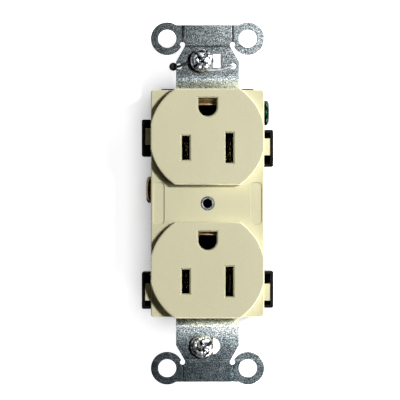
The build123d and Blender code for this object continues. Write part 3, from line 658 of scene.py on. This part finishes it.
def paddle(centre):
    """Round flat disc that the wire's left end is squashed into."""
    placement = Matrix.Translation(centre) @ Matrix.Rotation(math.pi / 2, 4, "X")
    rim, half = PADDLE_RADIUS, PADDLE_HALF_THICKNESS
    rings = [(0.3 * MM, -half), (rim - 0.35 * MM, -half), (rim - 0.1 * MM, -half * 0.7),
             (rim, -half * 0.2), (rim, half * 0.2), (rim - 0.1 * MM, half * 0.7),
             (rim - 0.35 * MM, half), (0.3 * MM, half)]
    bm = bmesh.new()
    lathe(bm, rings, 32, placement)
    return mesh_object("grounding_spring_paddle", bm, WIRE)


def grounding_spring():
    """One bent wire that crosses the front of the strap and goes back through two holes.

    Its left end is squashed into a round paddle that bears on the box behind the strap."""
    low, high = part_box("grounding_spring")
    front_y = low.y + WIRE_INSET
    rear_y = high.y - WIRE_INSET
    wire = bent_wire(spring_route(front_y, rear_y))
    flat_end = paddle((-10.0 * MM, rear_y, 40.0 * MM))
    for piece in (wire, flat_end):
        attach(piece, "housing")
        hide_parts("grounding_spring")


grounding_spring()


# ---- Stage, light and camera -----------------------------------------------------------
FLOOR_SIZE = 6.0
FLOOR_GAP = 0.3 * MM              # between the outlet's back and the ground
CONTACT_SHADE_REACH = 9 * MM


def pale_floor():
    """White ground under the outlet's back; it shows only from the outlet's side."""
    back_y = cad_bounds[1][1]
    bpy.ops.mesh.primitive_plane_add(size=FLOOR_SIZE, location=(0, back_y + FLOOR_GAP, 0),
                                     rotation=(math.pi / 2, 0, 0))
    floor = bpy.context.object
    floor.name = "floor"
    material = bpy.data.materials.new("floor_white")
    nodes = Nodes(material)
    output = nodes.add("ShaderNodeOutputMaterial")
    # painted contact shadow: the ground's glow dims where the outlet stands close to it
    near = nodes.add("ShaderNodeAmbientOcclusion", Distance=CONTACT_SHADE_REACH)
    level = nodes.add("ShaderNodeMapRange", Value=near.outputs["AO"], From_Min=0.5,
                      To_Min=0.40, To_Max=0.95)
    # the glow keeps the ground white to the camera and lights the outlet only weakly
    path = nodes.add("ShaderNodeLightPath")
    share = nodes.add("ShaderNodeMapRange", Value=path.outputs["Is Camera Ray"], To_Min=0.50)
    strength = nodes.add("ShaderNodeMath")
    strength.operation = "MULTIPLY"
    nodes.link(level.outputs["Result"], strength.inputs[0])
    nodes.link(share.outputs["Result"], strength.inputs[1])
    glow = nodes.add("ShaderNodeEmission", Strength=strength.outputs[0])
    paint = nodes.add("ShaderNodeBsdfDiffuse", Color=(0.85, 0.85, 0.85, 1))
    both = nodes.add("ShaderNodeAddShader")
    nodes.link(paint.outputs[0], both.inputs[0])
    nodes.link(glow.outputs[0], both.inputs[1])
    side = nodes.add("ShaderNodeNewGeometry")
    clear = nodes.add("ShaderNodeBsdfTransparent")
    nodes.link(nodes.mix_shaders(side.outputs["Backfacing"], both.outputs[0], clear.outputs[0]),
               output.inputs["Surface"])
    floor.data.materials.append(material)
    floor.visible_shadow = False


def area_light(name, place, size, energy, length=None):
    """Soft light that looks at the outlet from a place: square, or a strip along X."""
    data = bpy.data.lights.new(name, "AREA")
    data.energy = energy
    data.size = size
    if length is not None:
        data.shape = "RECTANGLE"
        data.size_y = length
    light = bpy.data.objects.new(name, data)
    light.location = place
    light.rotation_euler = (-Vector(place)).to_track_quat("-Z", "Y").to_euler()
    bpy.context.scene.collection.objects.link(light)


def studio():
    """Key light from the right, strips for the strap's slopes, and two lights behind."""
    area_light("key", (0.31, -0.625, 0.125), 0.09, 5.45)
    area_light("key_low", (0.40, -0.54, -0.10), 0.14, 0.5)
    area_light("side", (0.60, -0.34, 0.04), 0.16, 0.3)
    area_light("above", (0.40, -0.006, 0.52), 0.02, 4.6, length=0.20)
    area_light("below", (0.44, -0.006, -0.50), 0.02, 8.0, length=0.20)
    area_light("back_left", (-0.65, 0.75, 0.35), 0.5, 3.2)
    area_light("back_right", (0.75, 0.70, 0.20), 0.5, 3.4)
    # a white background to the camera, and hardly any light from it
    world = bpy.data.worlds.new("studio")
    bpy.context.scene.world = world
    nodes = Nodes(world)
    output = nodes.add("ShaderNodeOutputWorld")
    ambient = nodes.add("ShaderNodeBackground", Color=(0.95, 0.97, 1.0, 1), Strength=0.008)
    seen = nodes.add("ShaderNodeBackground", Color=(1, 1, 1, 1), Strength=1.0)
    path = nodes.add("ShaderNodeLightPath")
    nodes.link(nodes.mix_shaders(path.outputs["Is Camera Ray"], ambient.outputs[0],
                                 seen.outputs[0]), output.inputs["Surface"])
    bpy.context.scene.view_settings.view_transform = "Standard"


def camera():
    """Straight-on view from far away."""
    distance = 1.0
    field = 117.0 * MM            # width of the view at the outlet
    data = bpy.data.cameras.new("camera")
    data.sensor_width = 36.0
    data.lens = data.sensor_width * distance / field
    made = bpy.data.objects.new("camera", data)
    made.location = (-2.2 * MM, -distance, 1.0 * MM)
    made.rotation_euler = (math.pi / 2, 0, 0)
    bpy.context.scene.collection.objects.link(made)
    bpy.context.scene.camera = made


pale_floor()
studio()
camera()
